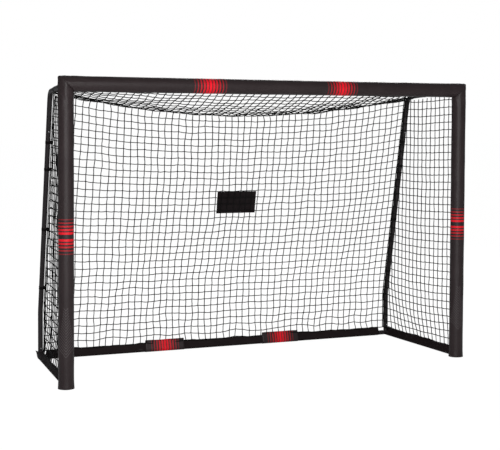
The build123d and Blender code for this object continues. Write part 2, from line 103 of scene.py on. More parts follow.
# %% [markdown]
# ## The camera
#
# The goal is seen from its left front, from about head height, with a long lens. The lens is
# shifted a little, because the goal doesn't sit in the middle of the view.

# %% Camera
camera = bpy.data.objects.new("camera", bpy.data.cameras.new("camera"))
bpy.context.scene.collection.objects.link(camera)
camera.location = (-2.6196, -6.5071, 1.3819)
camera.rotation_euler = Euler([math.radians(a) for a in (87.562, -0.338, -23.367)])
camera.data.lens = 87.77
camera.data.shift_x = -0.060
camera.data.shift_y = -0.106
bpy.context.scene.camera = camera

# %% [markdown]
# ## Light and ground
#
# A soft studio: a dim world that fills every side, one broad lamp in front and a weaker one
# behind. The ground is pale and keeps a faint shadow. What the camera sees directly of the
# world is plain white, while the goal itself is lit and mirrored by the dim one, so that its
# edges stay dark.

# %% A helper that adds one node, with its settings and its links
def add(tree, kind, settings=(), inputs=()):
    node = tree.nodes.new("ShaderNode" + kind)
    for name, value in dict(settings).items():
        setattr(node, name, value)
    for name, value in dict(inputs).items():
        if isinstance(value, bpy.types.NodeSocket):
            tree.links.new(value, node.inputs[name])
        else:
            node.inputs[name].default_value = value
    return node


def linear(text):
    """A colour written as sRGB hex, as the linear numbers that shaders use."""
    shares = [int(text[i : i + 2], 16) / 255 for i in (1, 3, 5)]
    return [s / 12.92 if s <= 0.04045 else ((s + 0.055) / 1.055) ** 2.4 for s in shares] + [1.0]


# %% World, lamps and ground
scene = bpy.context.scene
scene.view_settings.view_transform = "Standard"

world = bpy.data.worlds.new("studio")
scene.world = world
world.use_nodes = True
tree = world.node_tree
tree.nodes.clear()
rays = add(tree, "LightPath")
fill = add(tree, "Background", {}, {"Color": linear("#eef2f6"), "Strength": 0.2})
white = add(tree, "Background", {}, {"Color": (1, 1, 1, 1), "Strength": 1.0})
sky = add(tree, "MixShader", {}, {0: rays.outputs["Is Camera Ray"], 1: fill.outputs[0], 2: white.outputs[0]})
add(tree, "OutputWorld", {}, {"Surface": sky.outputs[0]})


def lamp(name, place, target, size, watts):
    light = bpy.data.lights.new(name, "AREA")
    light.size = size
    light.energy = watts
    holder = bpy.data.objects.new(name, light)
    scene.collection.objects.link(holder)
    holder.location = place
    holder.rotation_euler = (Vector(target) - Vector(place)).to_track_quat("-Z", "Y").to_euler()


lamp("key", (-2.0, -6.0, 2.3), (0, 0, 0.8), 1.4, 270)
lamp("back_light", (2.6, 4.6, 3.2), (0, 0, 0.8), 2.4, 150)

ground_mesh = bpy.data.meshes.new("ground")
bm = bmesh.new()
bmesh.ops.create_grid(bm, x_segments=1, y_segments=1, size=60)
bm.to_mesh(ground_mesh)
bm.free()
ground = bpy.data.objects.new("ground", ground_mesh)
scene.collection.objects.link(ground)
paper = bpy.data.materials.new("studio_paper")
paper.use_nodes = True
tree = paper.node_tree
tree.nodes.clear()
rays = add(tree, "LightPath")
matt = add(tree, "BsdfDiffuse", {}, {"Color": linear("#f4f4f4")})
glow = add(tree, "Emission", {}, {"Color": (1, 1, 1, 1), "Strength": 1.06})
share = add(tree, "Math", {"operation": "MULTIPLY"}, {0: rays.outputs["Is Camera Ray"], 1: 0.93})
mix = add(tree, "MixShader", {}, {0: share.outputs[0], 1: matt.outputs[0], 2: glow.outputs[0]})
add(tree, "OutputMaterial", {}, {"Surface": mix.outputs[0]})
ground_mesh.materials.append(paper)
ground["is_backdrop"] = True

# %% [markdown]
# ## Materials
#
# Each finish starts from the real stuff. Cloth gets its weave as a fine bump and a faint change
# of colour, with the threads drawn coarser than life where life would be too fine to show.
# All patterns read Object coordinates, so they are real millimetres on the goal.

# %% A material with its shader and its output
def surface(name, colour, roughness, metallic=0.0, **sockets):
    """A new material. It returns the material, its tree and its shader."""
    material = bpy.data.materials.new(name)
    material.use_nodes = True
    tree = material.node_tree
    tree.nodes.clear()
    settings = {"Base Color": linear(colour), "Roughness": roughness, "Metallic": metallic}
    shader = add(tree, "BsdfPrincipled", {}, settings)
    for socket, value in sockets.items():
        shader.inputs[socket.replace("_", " ")].default_value = value
    add(tree, "OutputMaterial", {}, {"Surface": shader.outputs[0]})
    return material, tree, shader


def mottle(tree, place, scale, dark, pale, detail=4.0):
    """A colour that wanders between two, in patches of 1/scale metres."""
    spots = add(tree, "TexNoise", {}, {"Vector": place, "Scale": scale, "Detail": detail})
    blend = add(tree, "Mix", {"data_type": "RGBA"}, {"Factor": spots.outputs["Fac"]})
    blend.inputs[6].default_value = linear(dark)
    blend.inputs[7].default_value = linear(pale)
    return blend.outputs[2]


def weave(tree, place, spacing):
    """The height of a plain weave: threads one way times threads the other, spacing metres apart."""
    axes = add(tree, "SeparateXYZ", {}, {0: place})
    waves = []
    for axis in "XYZ":
        angle = add(tree, "Math", {"operation": "MULTIPLY"}, {0: axes.outputs[axis], 1: 2 * math.pi / spacing})
        waves.append(add(tree, "Math", {"operation": "SINE"}, {0: angle.outputs[0]}).outputs[0])
    pair = add(tree, "Math", {"operation": "ADD"}, {0: waves[0], 1: waves[1]})
    return add(tree, "Math", {"operation": "ADD"}, {0: pair.outputs[0], 1: waves[2]}).outputs[0]


def raise_by(tree, shader, height, distance, strength=1.0):
    bump = add(tree, "Bump", {}, {"Height": height, "Distance": distance, "Strength": strength})
    tree.links.new(bump.outputs["Normal"], shader.inputs["Normal"])


# %% [markdown]
# The tubes are powder coated: baked paint with a fine orange-peel skin and a satin gloss.
# The buttons and their springs are zinc-plated and plain steel, and the foot caps are moulded
# polyethylene, which is a little waxy.

# %% Paint, metal and plastic
THREAD = 2.4 * MM  # real threads are about 0.5 mm, too fine to show


def powder_coat():
    """Black polyester powder coat. Its orange peel breaks up long highlights."""
    material, tree, shader = surface("powder_coated_steel", "#3b3537", 0.4, Specular_IOR_Level=0.3)
    place = add(tree, "TexCoord").outputs["Object"]
    tree.links.new(mottle(tree, place, 24, "#201b1d", "#2f292b"), shader.inputs["Base Color"])
    peel = add(tree, "TexNoise", {}, {"Vector": place, "Scale": 420, "Detail": 2})
    raise_by(tree, shader, peel.outputs["Fac"], 0.25 * MM, 0.5)
    return material


def plated(name, colour, roughness):
    """Bright metal plating with faint drawn lines, so that it glints unevenly."""
    material, tree, shader = surface(name, colour, roughness, metallic=1.0)
    place = add(tree, "TexCoord").outputs["Object"]
    grain = add(tree, "TexNoise", {}, {"Vector": place, "Scale": 900, "Detail": 3})
    band = add(tree, "MapRange", {}, {"Value": grain.outputs["Fac"], "To Min": roughness - 0.08, "To Max": roughness + 0.12})
    tree.links.new(band.outputs[0], shader.inputs["Roughness"])
    return material


def moulded_plastic():
    """Moulded polyethylene with a fine spark-eroded grain."""
    material, tree, shader = surface("moulded_polyethylene", "#242222", 0.5)
    place = add(tree, "TexCoord").outputs["Object"]
    grain = add(tree, "TexNoise", {}, {"Vector": place, "Scale": 1400, "Detail": 2})
    raise_by(tree, shader, grain.outputs["Fac"], 0.1 * MM, 0.6)
    return material


def closed_foam():
    """Closed-cell polyethylene foam, dull and grey with small bubbles."""
    material, tree, shader = surface("closed_cell_foam", "#5c5b5d", 0.85)
    place = add(tree, "TexCoord").outputs["Object"]
    cells = add(tree, "TexVoronoi", {}, {"Vector": place, "Scale": 500})
    raise_by(tree, shader, cells.outputs["Distance"], 0.6 * MM, 0.6)
    return material


STEEL = powder_coat()
ZINC = plated("zinc_plated_steel", "#b9babd", 0.3)
SPRING = plated("spring_steel", "#8b8c90", 0.35)
PLASTIC = moulded_plastic()
FOAM = closed_foam()

# %% [markdown]
# ## Striped cloth
#
# The covers are coated polyester, nearly black, with a soft sheen. Two groups of red stripes
# are printed on the crossbar, one on each post, and one on each wrap of the rear base. A group
# is eleven stripes 18 mm apart, thick in the middle and thin at its ends. On the posts the
# middle stripe is left out. The stripes are worked out from the distance to the group's middle,
# so one small set of nodes makes them all.

# %% Stripes from a distance
STRIPES_EACH_WAY = 5


def calc(tree, operation, first, second=0.0, third=0.0):
    node = add(tree, "Math", {"operation": operation}, {0: first, 1: second, 2: third})
    return node.outputs[0]


def stripes(tree, distance, step, leave_middle_out):
    """How red the cloth is, from 0 to 1, at a distance along the tube from a group's middle."""
    count = calc(tree, "DIVIDE", distance, step)
    number = calc(tree, "ROUND", count)
    offset = calc(tree, "ABSOLUTE", calc(tree, "SUBTRACT", count, number))
    rank = calc(tree, "ABSOLUTE", number)
    half_width = calc(tree, "MULTIPLY_ADD", rank, -0.05, 0.4)
    edge = calc(tree, "SUBTRACT", half_width, offset)
    inside = add(tree, "MapRange", {}, {"Value": edge, "From Min": -0.03, "From Max": 0.03}).outputs[0]
    counted = calc(tree, "LESS_THAN", rank, STRIPES_EACH_WAY + 0.5)
    if leave_middle_out:
        counted = calc(tree, "MULTIPLY", counted, calc(tree, "GREATER_THAN", rank, 0.5))
    fade = calc(tree, "MULTIPLY_ADD", rank, -0.16, 1.0)
    return calc(tree, "MULTIPLY", calc(tree, "MULTIPLY", inside, counted), fade)


def chevrons(tree, axes, post_x):
    """Fine V lines low on each post, wider towards the floor, on the side that faces ahead."""
    right = calc(tree, "GREATER_THAN", axes.outputs["X"], 0.0)
    centre = calc(tree, "MULTIPLY_ADD", right, 2 * post_x, -post_x)
    across = calc(tree, "MULTIPLY", calc(tree, "SUBTRACT", axes.outputs["X"], centre), 0.966)
    ahead = calc(tree, "SUBTRACT", POST_Y, axes.outputs["Y"])
    side = calc(tree, "ABSOLUTE", calc(tree, "MULTIPLY_ADD", ahead, 0.26, across))
    height = calc(tree, "MULTIPLY_ADD", side, -1.25, axes.outputs["Z"])
    step = calc(tree, "FRACT", calc(tree, "DIVIDE", height, 15 * MM))
    line = calc(tree, "LESS_THAN", step, 0.16)
    low = calc(tree, "GREATER_THAN", height, 165 * MM)
    reach = calc(tree, "MULTIPLY_ADD", height, -0.12, 60 * MM)
    narrow = calc(tree, "LESS_THAN", side, reach)
    high = calc(tree, "LESS_THAN", height, 420 * MM)
    shown = calc(tree, "MULTIPLY", calc(tree, "MULTIPLY", line, low), calc(tree, "MULTIPLY", narrow, high))
    return calc(tree, "MULTIPLY", shown, calc(tree, "GREATER_THAN", ahead, 4 * MM))


def striped_cloth(name, axis, group_at, step, leave_middle_out=False, chevrons_about=None):
    """Coated woven polyester: a soft sheen, a fine weave, and printed red stripes."""
    material, tree, shader = surface(name, "#40373a", 0.42, Specular_IOR_Level=0.22)
    place = add(tree, "TexCoord").outputs["Object"]
    axes = add(tree, "SeparateXYZ", {}, {0: place})
    along = axes.outputs[axis]
    if axis == "X":
        along = calc(tree, "ABSOLUTE", along)
    ground_colour = mottle(tree, place, 9, "#261e1f", "#352c2d", 6.0)
    if chevrons_about is not None:
        shown = chevrons(tree, axes, chevrons_about)
        mark = add(tree, "Mix", {"data_type": "RGBA"}, {"Factor": calc(tree, "MULTIPLY", shown, 0.34), 6: ground_colour})
        mark.inputs[7].default_value = linear("#8b8586")
        ground_colour = mark.outputs[2]
    red = mottle(tree, place, 60, "#e60a20", "#ff1a2e")
    amount = stripes(tree, calc(tree, "SUBTRACT", along, group_at), step, leave_middle_out)
    colour = add(tree, "Mix", {"data_type": "RGBA"}, {"Factor": amount, 6: ground_colour, 7: red})
    tree.links.new(colour.outputs[2], shader.inputs["Base Color"])
    raise_by(tree, shader, weave(tree, place, THREAD), 0.12 * MM, 0.5)
    return material


GROUP_X = 390 * MM
WRAP_X = middle("base_wrap_right").x
GROUP_Z = 783 * MM
CROSSBAR_CLOTH = striped_cloth("coated_polyester_crossbar", "X", GROUP_X, 17.6 * MM)
POST_CLOTH = striped_cloth("coated_polyester_post", "Z", GROUP_Z, 17.6 * MM, True, chevrons_about=POST_X)
WRAP_CLOTH = striped_cloth("coated_polyester_wrap", "X", WRAP_X, 16.6 * MM)

# %% [markdown]
# The sleeves, straps and patch are plain woven cloth, duller than the covers. The net is
# braided polyethylene cord: black, with the light catching its strands.

# %% Plain cloth and cord
def woven(name, dark, pale, thread, roughness, gloss):
    """Woven polyester. The threads are drawn coarse enough to show."""
    material, tree, shader = surface(name, dark, roughness, Specular_IOR_Level=gloss)
    place = add(tree, "TexCoord").outputs["Object"]
    tree.links.new(mottle(tree, place, 14, dark, pale, 6.0), shader.inputs["Base Color"])
    raise_by(tree, shader, weave(tree, place, thread), 0.2 * MM, 0.6)
    return material


def braided_cord():
    """Braided polyethylene cord: small diagonal ridges and a dull gloss."""
    material, tree, shader = surface("braided_polyethylene_cord", "#121011", 0.6, Specular_IOR_Level=0.12)
    place = add(tree, "TexCoord").outputs["Object"]
    ridges = add(tree, "TexWave", {"bands_direction": "DIAGONAL"}, {"Vector": place, "Scale": 90, "Distortion": 1.5})
    tree.links.new(mottle(tree, place, 40, "#070606", "#100e0f"), shader.inputs["Base Color"])
    raise_by(tree, shader, ridges.outputs["Fac"], 0.4 * MM, 0.6)
    return material


SLEEVE_CLOTH = woven("woven_polyester_sleeve", "#181112", "#241c1d", THREAD, 0.6, 0.09)
PATCH_CLOTH = woven("woven_polyester_patch", "#120e0f", "#1f191a", 2 * MM, 0.75, 0.1)
TAPE = woven("woven_polyester_tape", "#0e0b0c", "#181415", 2 * MM, 0.7, 0.1)
CORD = braided_cord()

# %% The frame's own nodes take their materials
FINISHES = {
    "corner_fitting": STEEL, "crossbar_tube": STEEL, "post_tube": STEEL, "roof_arm": STEEL,
    "rear_upright": STEEL, "rear_corner": STEEL, "side_base_tube": STEEL, "rear_base_tube": STEEL,
    "snap_button": ZINC, "snap_clips": SPRING, "post_foot_cap": PLASTIC,
    "post_foam": FOAM, "crossbar_foam": FOAM,
}
for name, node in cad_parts.items():
    for start, material in FINISHES.items():
        if name.startswith(start):
            node.data.materials.clear()
            node.data.materials.append(material)

# %% [markdown]
# ## Finishing a piece
#
# A piece is drawn in a bmesh, cleaned, and then handed to the frame: it rides on the body
# "frame", hides the frame node that it stands for, and takes a material.

# %% From a bmesh to a piece of the goal
def finish_piece(bm, name, material, replaces=(), thickness=0.0, weld=0.05 * MM, smooth=True):
    bmesh.ops.remove_doubles(bm, verts=bm.verts, dist=weld)
    bmesh.ops.recalc_face_normals(bm, faces=bm.faces)
    for face in bm.faces:
        face.smooth = smooth
    mesh = bpy.data.meshes.new(name)
    bm.to_mesh(mesh)
    bm.free()
    return settle(mesh, name, material, replaces, thickness)


def settle(mesh, name, material, replaces=(), thickness=0.0):
    mesh.materials.clear()
    mesh.materials.append(material)
    piece = bpy.data.objects.new(name, mesh)
    scene.collection.objects.link(piece)
    if thickness:
        wall = piece.modifiers.new("wall", "SOLIDIFY")
        wall.thickness = thickness
        wall.offset = -1
    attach(piece, "frame")
    if replaces:
        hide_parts(*replaces)
    return piece


def wander(place, size, seed=0.0):
    """Smooth noise from about -1 to 1 that changes over the given size."""
    return noise.noise(Vector(place) / size + Vector((seed, seed * 0.7, -seed)))


# %% [markdown]
# ## The padded covers
#
# On the real goal a cover is one length of cloth wrapped round the foam and closed along its
# back with a lapped seam. It could be a plain tube, but cloth on foam is never even: it is drawn
# in at the seam, pinched at the mitred corners, and slack in long shallow folds. So a ring of
# points is extruded along the tube, and each point is then moved in or out a little.

# %% A cover as rings extruded along its tube
RING_POINTS = 72
RING_STEP = 9 * MM


def tube_of_rings(start, direction, length, radius, step=RING_STEP):
    """An open tube in a bmesh, with a ring of points every step."""
    bm = bmesh.new()
    turn = Vector((0, 0, 1)).rotation_difference(direction).to_matrix().to_4x4()
    place = Matrix.Translation(start) @ turn
    ring = bmesh.ops.create_circle(bm, segments=RING_POINTS, radius=radius, matrix=place)
    edges = list({edge for vert in ring["verts"] for edge in vert.link_edges})
    count = max(2, round(length / step))
    for _ in range(count):
        made = bmesh.ops.extrude_edge_only(bm, edges=edges)["geom"]
        verts = [g for g in made if isinstance(g, bmesh.types.BMVert)]
        edges = [g for g in made if isinstance(g, bmesh.types.BMEdge)]
        edges = [e for e in edges if all(v in set(verts) for v in e.verts)]
        bmesh.ops.translate(bm, verts=verts, vec=direction * (length / count))
    return bm


def crumple(bm, axis_point, direction, corner, seed, seam_way):
    """Slack folds, a drawn-in seam, and gathers near a mitred corner."""
    for vert in bm.verts:
        arm = vert.co - axis_point
        out = arm - direction * arm.dot(direction)
        radius = out.length
        out.normalize()
        along = vert.co.dot(direction)
        around = math.atan2(out.cross(seam_way).dot(direction), out.dot(seam_way))
        folds = 1.1 * MM * wander((along / 5, around * radius, seed), 22 * MM, seed)
        folds += 0.8 * MM * wander(vert.co, 90 * MM, seed + 3)
        near = min((vert.co - c).length for c in corner)
        gather = max(0.0, 1 - near / (190 * MM)) ** 1.5
        pleats = math.sin(around * 9 + 4 * wander(vert.co, 60 * MM, seed)) * 1.6 * MM * gather
        pleats += 2.2 * MM * gather * wander((along, around * radius / 2, seed), 16 * MM, seed + 7)
        lap = -1.3 * MM * math.exp(-((around * radius / (3.5 * MM)) ** 2))
        vert.co += out * max(0.0, 0.7 * folds + pleats + lap + 0.4 * MM)


def round_corner(bm, corner, side, radius=20 * MM, bulge=4 * MM):
    """Rounds the sharp outer tip of the mitre, where thick cloth can't fold to an edge."""
    centre = corner + Vector((side, 0, 1)) * (COVER_R - radius)
    for vert in bm.verts:
        arm = Vector(((vert.co.x - centre.x) * side, 0, vert.co.z - centre.z))
        if min(arm.x, arm.z) > 0 and arm.length > 0:
            most = radius + bulge * min(1.0, 2 * min(arm.x, arm.z) / arm.length)
            share = min(1.0, most / arm.length)
            vert.co.x = centre.x + side * arm.x * share
            vert.co.z = centre.z + arm.z * share


def cut(bm, point, normal):
    """Keeps what lies behind a plane."""
    everything = list(bm.verts) + list(bm.edges) + list(bm.faces)
    bmesh.ops.bisect_plane(bm, geom=everything, plane_co=point, plane_no=normal, clear_outer=True)


def open_hole(bm, start, direction, radius, length):
    """Opens cloth where a tube passes out of it."""
    gone = []
    for face in bm.faces:
        reach = face.calc_center_median() - start
        along = reach.dot(direction)
        if 0 < along < length and (reach - direction * along).length < radius:
            gone.append(face)
    bmesh.ops.delete(bm, geom=gone, context="FACES")


# %% The crossbar's cover
LEFT, RIGHT, BACK, UP = Vector((-1, 0, 0)), Vector((1, 0, 0)), Vector((0, 1, 0)), Vector((0, 0, 1))
CORNERS = [Vector((side * POST_X, POST_Y, CROSSBAR_Z)) for side in (-1, 1)]
MITRE_GAP = 0.3 * MM
ARM_HOLE_R = TUBE_R + 2.5 * MM
HALF_WIDTH = POST_X + COVER_R


def arm_way(side):
    return (Vector((side * BEND.x, BEND.y, BEND.z)) - Vector((side * POST_X, POST_Y, CROSSBAR_Z))).normalized()


bm = tube_of_rings(Vector((-HALF_WIDTH, POST_Y, CROSSBAR_Z)), RIGHT, 2 * HALF_WIDTH, COVER_R)
for side, corner in zip((-1, 1), CORNERS):
    cut(bm, corner - RIGHT * side * MITRE_GAP, Vector((side, 0, -1)))
crumple(bm, CORNERS[0], RIGHT, CORNERS, 1.3, Vector((0, 0.94, -0.34)))
for side, corner in zip((-1, 1), CORNERS):
    round_corner(bm, corner, side)
    open_hole(bm, corner, arm_way(side), ARM_HOLE_R, 2 * COVER_R)
crossbar_cover = finish_piece(
    bm, "crossbar_cloth", CROSSBAR_CLOTH, ["crossbar_cover"], thickness=1 * MM
)

# %% The covers of the two posts
FOOT_SLOT_R = 18 * MM
HEM_Z = 1 * MM
for side, word in ((-1, "left"), (1, "right")):
    foot = Vector((side * POST_X, POST_Y, HEM_Z))
    bm = tube_of_rings(foot, UP, CROSSBAR_Z + COVER_R - HEM_Z, COVER_R)
    corner = CORNERS[(side + 1) // 2]
    cut(bm, corner - UP * MITRE_GAP, Vector((-side, 0, 1)))
    seam_way = Vector((side * 0.34, 0.94, 0)).normalized()
    crumple(bm, foot, UP, [corner], 5.1 + side, seam_way)
    round_corner(bm, corner, side)
    for vert in bm.verts:
        arm = vert.co - foot
        spread = max(0.0, 1 - vert.co.z / (55 * MM)) ** 2 * 2.5 * MM
        vert.co += Vector((arm.x, arm.y, 0)).normalized() * spread
    open_hole(bm, corner, arm_way(side), ARM_HOLE_R, 2 * COVER_R)
    side_way = Vector((side * (REAR_X - POST_X), REAR_Y - POST_Y, 0)).normalized()
    for height in (BASE_Z, BASE_Z / 2, 0):
        open_hole(bm, Vector((side * POST_X, POST_Y, height)), side_way, FOOT_SLOT_R, 2 * COVER_R)
    cover = finish_piece(
        bm, f"post_cloth_{word}", POST_CLOTH, [f"post_cover_{word}"], thickness=1 * MM
    )
print("covers done")

# %% [markdown]
# The covers are sewn together at each mitre and closed along the back. A row of short stitches
# stands on each side of each mitre. Each stitch is a few millimetres of thread, so a small
# five-sided rod is enough for it.

# %% Stitches along the seams
STITCH_R = 0.55 * MM
STITCH_LENGTH = 6 * MM
STITCH_STEP = 10 * MM


def stitch(bm, place, way):
    turn = UP.rotation_difference(way).to_matrix().to_4x4()
    where = Matrix.Translation(place) @ turn
    bmesh.ops.create_cone(
        bm, cap_ends=True, segments=5, radius1=STITCH_R, radius2=STITCH_R, depth=STITCH_LENGTH, matrix=where
    )


def mitre_stitches(bm, side, corner, setback):
    """Both rows beside one mitre: an ellipse of stitches on each of the two tubes."""
    for way, tube in ((Vector((-side, 0, 0)), "crossbar"), (Vector((0, 0, -1)), "post")):
        count = round(2 * math.pi * COVER_R * 1.2 / STITCH_STEP)
        for i in range(count):
            angle = 2 * math.pi * i / count
            across = Vector((0, 0, 1)) if tube == "crossbar" else Vector((side, 0, 0))
            out = across * math.cos(angle) + Vector((0, -1, 0)) * math.sin(angle)
            shift = (COVER_R * math.cos(angle)) * -1 + setback
            place = corner + out * (COVER_R - 0.2 * MM) + way * shift
            slope = way * (COVER_R * math.sin(angle)) + (
                across * -math.sin(angle) + Vector((0, -1, 0)) * math.cos(angle)
            ) * COVER_R
            stitch(bm, place, slope.normalized())


bm = bmesh.new()
for side, corner in zip((-1, 1), CORNERS):
    mitre_stitches(bm, side, corner, 7 * MM)
    round_corner(bm, corner, side)
finish_piece(bm, "mitre_stitches", TAPE, weld=0.0)

# %% [markdown]
# ## Sleeves on the floor tubes
#
# A sleeve is a flat tube of cloth with the base tube in its lower edge. The net is tied to its
# upper edge, which pulls it up into a thin fin with a wavy top. In section it is a teardrop:
# an arc round the tube, and two nearly flat sides that meet at the top. The section is carried
# along the tube and each ring's top is moved sideways and down by noise.

# %% A teardrop sleeve
def fin_section(base_r, top_z, arc_points=14, side_points=5):
    """Half a teardrop seen end on, from the top down one side and round under the tube."""
    rise = top_z - BASE_Z
    lean = math.asin(min(0.9, (base_r - 1.2 * MM) / rise))
    touch = math.pi / 2 - lean
    points = []
    start = Vector((1.2 * MM, rise))
    end = Vector((base_r * math.sin(touch), base_r * math.cos(touch)))
    for i in range(side_points):
        points.append(start.lerp(end, i / side_points))
    for i in range(arc_points + 1):
        angle = touch + (math.pi - touch) * i / arc_points
        points.append(Vector((base_r * math.sin(angle), base_r * math.cos(angle))))
    return points


def fin_ring(base_r, top_z):
    half = fin_section(base_r, top_z)
    return half + [Vector((-p.x, p.y)) for p in reversed(half[:-1])]


def sleeve(route, base_r, top_z, seed, wave=5 * MM, slack=1.8 * MM):
    """Rings of a teardrop along a level route, joined by bridging, with a wavy upper edge."""
    bm = bmesh.new()
    rings = []
    for i, place in enumerate(route):
        before, after = route[max(0, i - 1)], route[min(len(route) - 1, i + 1)]
        way = (after - before).normalized()
        across = Vector((way.y, -way.x, 0))
        verts = []
        for point in fin_ring(base_r, top_z):
            height = max(0.0, point.y) / (top_z - BASE_Z)
            where = place + across * point.x + UP * point.y
            sway = wave * wander(place, 120 * MM, seed) + 0.4 * wave * wander(place, 35 * MM, seed + 2)
            drop = 0.5 * wave * (1 + wander(place, 70 * MM, seed + 5)) * height
            where += across * sway * height**1.5 - UP * drop
            flat = 1.0 if point.y > -base_r * 0.55 else 0.0
            run = place.dot(way)
            fold = wander((run / 6, where.z + 0.12 * run, seed), 9 * MM, seed + 8) + 0.6 * wander(where, 30 * MM, seed)
            where += (across * (1 if point.x > 0 else -1)) * flat * slack * fold
            verts.append(bm.verts.new(where))
        edges = [bm.edges.new((verts[k], verts[(k + 1) % len(verts)])) for k in range(len(verts))]
        rings.append(edges)
    for first, second in zip(rings, rings[1:]):
        bmesh.ops.bridge_loops(bm, edges=first + second)
    return bm


def steps_between(start, end, step=11 * MM):
    count = max(2, round((end - start).length / step))
    return [start.lerp(end, i / count) for i in range(count + 1)]


def girth(base_r, top_z):
    ring = fin_ring(base_r, top_z)
    return sum((a - b).length for a, b in zip(ring, ring[1:] + ring[:1]))


SLEEVE_R = TUBE_R + 1.5 * MM
SLEEVE_SHIFT = -11 * MM  # the rear sleeve has crept to the left on its tube
rear_route = steps_between(
    Vector((-SLEEVE_HALF + SLEEVE_SHIFT, REAR_Y, BASE_Z)), Vector((SLEEVE_HALF + SLEEVE_SHIFT, REAR_Y, BASE_Z))
)
bm = sleeve(rear_route, SLEEVE_R, SLEEVE_TOP_Z, 2.2)
rear_sleeve = finish_piece(bm, "rear_sleeve_cloth", SLEEVE_CLOTH, ["rear_base_sleeve"], 0.9 * MM)
print("sleeve girth", round(girth(SLEEVE_R, SLEEVE_TOP_Z) * 1000), "mm")

# %% The side sleeves, each with its tail beyond the rear corner
SIDE_START = 43 * MM
for side, word in ((-1, "left"), (1, "right")):
    post_foot = Vector((side * POST_X, POST_Y, BASE_Z))
    rear_foot = Vector((side * REAR_X, REAR_Y, BASE_Z))
    way = (rear_foot - post_foot).normalized()
    outward = Vector((side, 0, 0))
    route = steps_between(post_foot + way * SIDE_START, rear_foot - way * 12 * MM)
    route += [rear_foot - way * 2 * MM + outward * 1 * MM, rear_foot + way * 8 * MM + outward * 2 * MM]
    bm = sleeve(route, SLEEVE_R, SLEEVE_TOP_Z, 7.4 + side, wave=6 * MM)
    for vert in bm.verts:
        reach = vert.co - rear_foot
        near = max(0.0, 1 - Vector((reach.x, reach.y)).length / (95 * MM))
        if vert.co.z > BASE_Z:
            vert.co += outward * near * (27 * MM) * (vert.co.z - BASE_Z) / (SLEEVE_TOP_Z - BASE_Z)
        vert.co += outward * near * 1.5 * MM * wander(vert.co, 14 * MM, 3.0)
    piece = finish_piece(
        bm, f"side_sleeve_cloth_{word}", SLEEVE_CLOTH, [f"side_base_sleeve_{word}"], 0.9 * MM
    )

# %% The striped wraps round the rear sleeve
WRAP_LOW, WRAP_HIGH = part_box("base_wrap_right")
WRAP_RING_R = (WRAP_HIGH.y - WRAP_LOW.y) / 2
for side, word in ((-1, "left"), (1, "right")):
    low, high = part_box(f"base_wrap_{word}")
    route = steps_between(Vector((low.x, REAR_Y, BASE_Z)), Vector((high.x, REAR_Y, BASE_Z)), 8 * MM)
    bm = sleeve(route, WRAP_RING_R, WRAP_HIGH.z, 2.2, wave=4 * MM, slack=0.8 * MM)
    piece = finish_piece(bm, f"wrap_cloth_{word}", WRAP_CLOTH, [f"base_wrap_{word}"], 0.9 * MM)
print("sleeves and wraps done")

# %% [markdown]
# ## The net
#
# A net is knotted from one long cord into square meshes, here about 41 mm wide and 44 mm high.
# It could be a picture of a grid on a sheet, but then it would have no thickness and cast a
# flat shadow. So the crossings are a bmesh grid, laid on the surface that the net hangs in, and
# every row and column of it becomes a curve with a round section. Each length of cord between
# two knots hangs a little slack and leaves its line a little, because no real net is even.

# %% Cords as curves, turned to a mesh
CORD_R = 2.6 * MM
KNOT_R = 3.9 * MM
EDGE_R = 3.0 * MM
PARTS_PER_MESH = 3


def slack_cord(points, seed, drop, wobble=2.6 * MM):
    """Points along one cord: its knots, and between them a little droop and wander."""
    made = []
    for a, b in zip(points, points[1:]):
        for i in range(PARTS_PER_MESH):
            share = i / PARTS_PER_MESH
            where = a.lerp(b, share)
            bow = math.sin(math.pi * share)
            level = 1 - abs((b - a).normalized().z)
            where = where - UP * drop * bow * level
            where += noise.noise_vector(where / (30 * MM) + Vector((seed, 0, 0))) * wobble * bow
            made.append(where)
    made.append(points[-1])
    return made


def knot_batch(places):
    """A small mesh of a few knots, because adding to a large bmesh ball by ball is slow."""
    bm = bmesh.new()
    for where in places:
        turn = Euler(noise.noise_vector(where * 40) * 3).to_matrix().to_4x4()
        place = Matrix.Translation(where) @ turn @ Matrix.Diagonal((1.25, 0.85, 1, 1))
        bmesh.ops.create_icosphere(bm, subdivisions=1, radius=KNOT_R, matrix=place)
    mesh = bpy.data.meshes.new("knots")
    bm.to_mesh(mesh)
    bm.free()
    return mesh


def cord_mesh(name, lines, radius, knots=()):
    """One mesh of all the cords, with a small ball at each knot."""
    curve = bpy.data.curves.new(name, "CURVE")
    curve.dimensions = "3D"
    curve.bevel_depth = radius
    curve.bevel_resolution = 1
    curve.use_fill_caps = True
    for line in lines:
        spline = curve.splines.new("POLY")
        spline.points.add(len(line) - 1)
        spline.points.foreach_set("co", [c for p in line for c in (*p, 1.0)])
    holder = bpy.data.objects.new(name + "_curve", curve)
    scene.collection.objects.link(holder)
    depsgraph = bpy.context.evaluated_depsgraph_get()
    mesh = bpy.data.meshes.new_from_object(holder.evaluated_get(depsgraph))
    bpy.data.objects.remove(holder)
    bm = bmesh.new()
    bm.from_mesh(mesh)
    for first in range(0, len(knots), 60):
        tied = knot_batch(knots[first : first + 60])
        bm.from_mesh(tied)
        bpy.data.meshes.remove(tied)
    for face in bm.faces:
        face.smooth = True
    bm.to_mesh(mesh)
    bm.free()
    mesh.name = name
    return mesh


# %% The surface that the back and roof nets hang in
SEAM_INSET = 19 * MM  # the corner seams run this far inside the rear tubes' axes
FRONT_Y = POST_Y + COVER_R - 1.5 * MM
ROOF_FRONT_Z = CROSSBAR_Z - 10 * MM
FOLD_SAG = 118 * MM
COLUMNS = 54
BACK_ROWS = 34
ROOF_ROWS = 11
SEAM_FRONT_X = POST_X - 12 * MM
SEAM_REAR_X = REAR_X - SEAM_INSET


